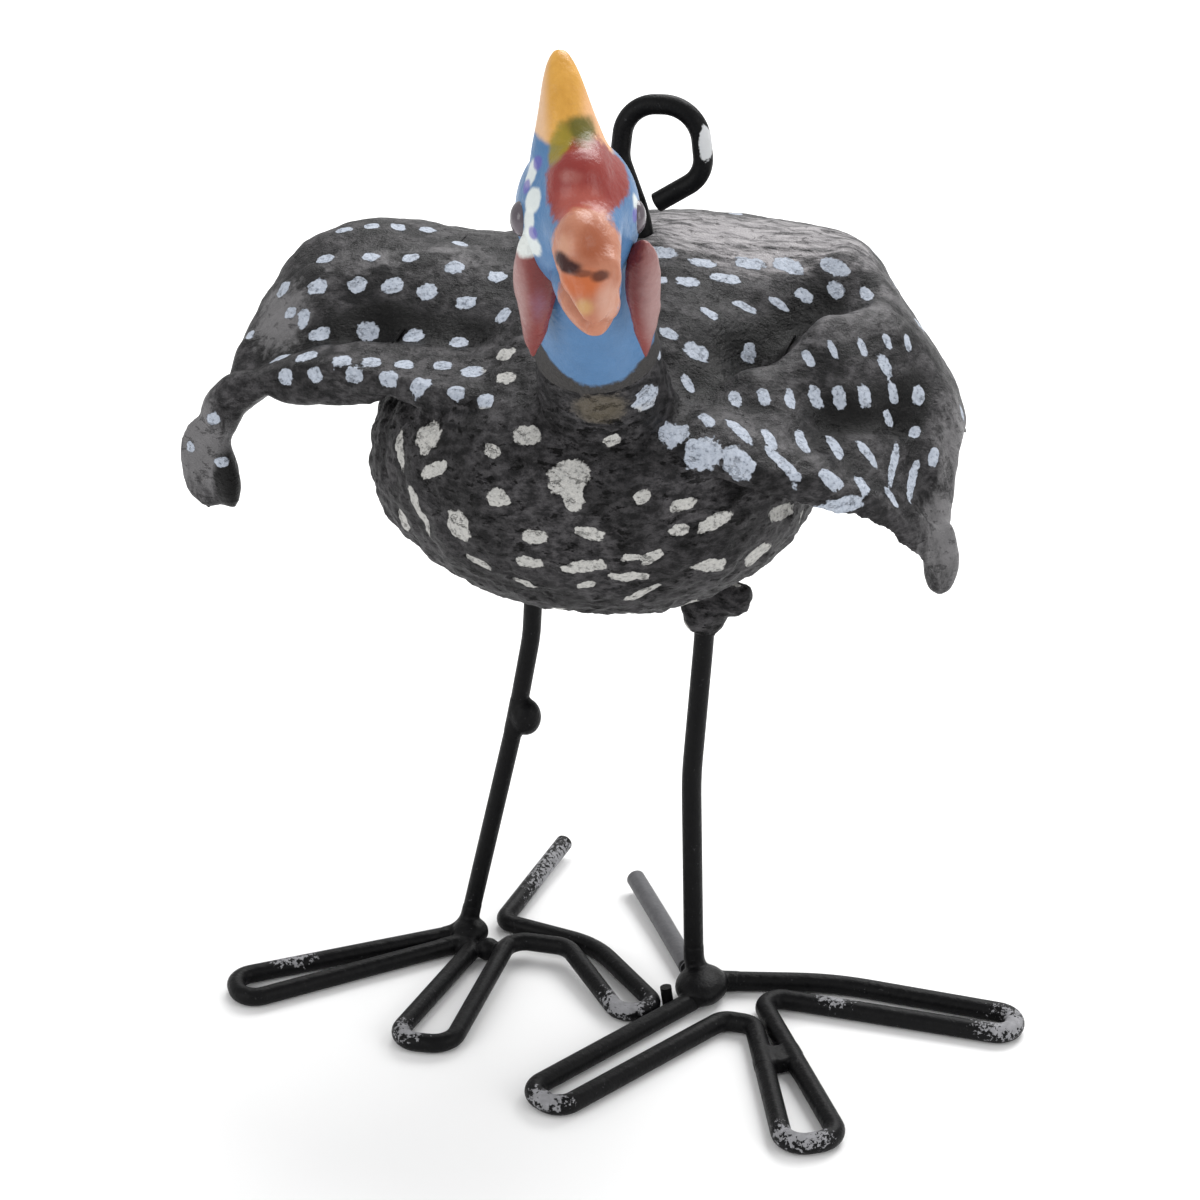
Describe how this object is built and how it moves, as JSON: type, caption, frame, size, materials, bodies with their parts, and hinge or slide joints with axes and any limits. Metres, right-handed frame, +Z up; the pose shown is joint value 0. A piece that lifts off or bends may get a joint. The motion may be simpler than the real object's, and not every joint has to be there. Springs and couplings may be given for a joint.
{
  "type": "guinea fowl ornament",
  "caption": "Hand-made helmeted guinea fowl figure with draped wings, painted pulp body, wire legs with looped toes and a wire hanging eye on its back.",
  "frame": {"origin": "centre of the figure's box, on the floor that the wire feet stand on", "axes": "+Z up, the bird faces -Y, its own left side is +X"},
  "size_m": [0.1302, 0.1362, 0.1568],
  "materials": {
    "paper": "crumpled dry newsprint",
    "pulp_black": "rough papier-mache, charcoal paint, white dabs",
    "putty_black": "rough putty under black paint",
    "paint_blue": "smooth pulp, glossy blue paint",
    "paint_yellow": "smooth pulp, glossy ochre paint",
    "paint_red": "smooth pulp, glossy red paint",
    "paint_flesh": "smooth pulp, glossy flesh-pink paint",
    "paint_orange": "smooth pulp, glossy orange paint",
    "paint_grey": "glossy dark grey paint",
    "wire_black": "satin black paint, chipped at the toes",
    "weld_black": "satin black paint over weld",
    "steel_bare": "bare wire"
  },
  "bodies": {
    "root": {"paper_core": "paper", "torso": "pulp_black", "wing_right": "pulp_black", "wing_left": "pulp_black", "tail": "pulp_black", "pulp_lump": "pulp_black", "collar_right": "putty_black", "collar_left": "putty_black", "knee_blob": "putty_black", "neck": "paint_blue", "head": "paint_blue", "casque": "paint_yellow", "forehead": "paint_red", "upper_beak": "paint_flesh", "lower_beak": "paint_orange", "wattle_right": "paint_red", "wattle_left": "paint_red", "eye_right": "paint_grey", "eye_left": "paint_grey", "leg_right": "wire_black", "leg_left": "wire_black", "spur_left": "wire_black", "hanging_eye": "wire_black", "wire_stub": "wire_black", "ankle_weld_right": "weld_black", "ankle_weld_left": "weld_black", "toe_weld_right": "weld_black", "toe_weld_left": "weld_black", "neck_wire": "steel_bare"}
  },
  "joints": []
}
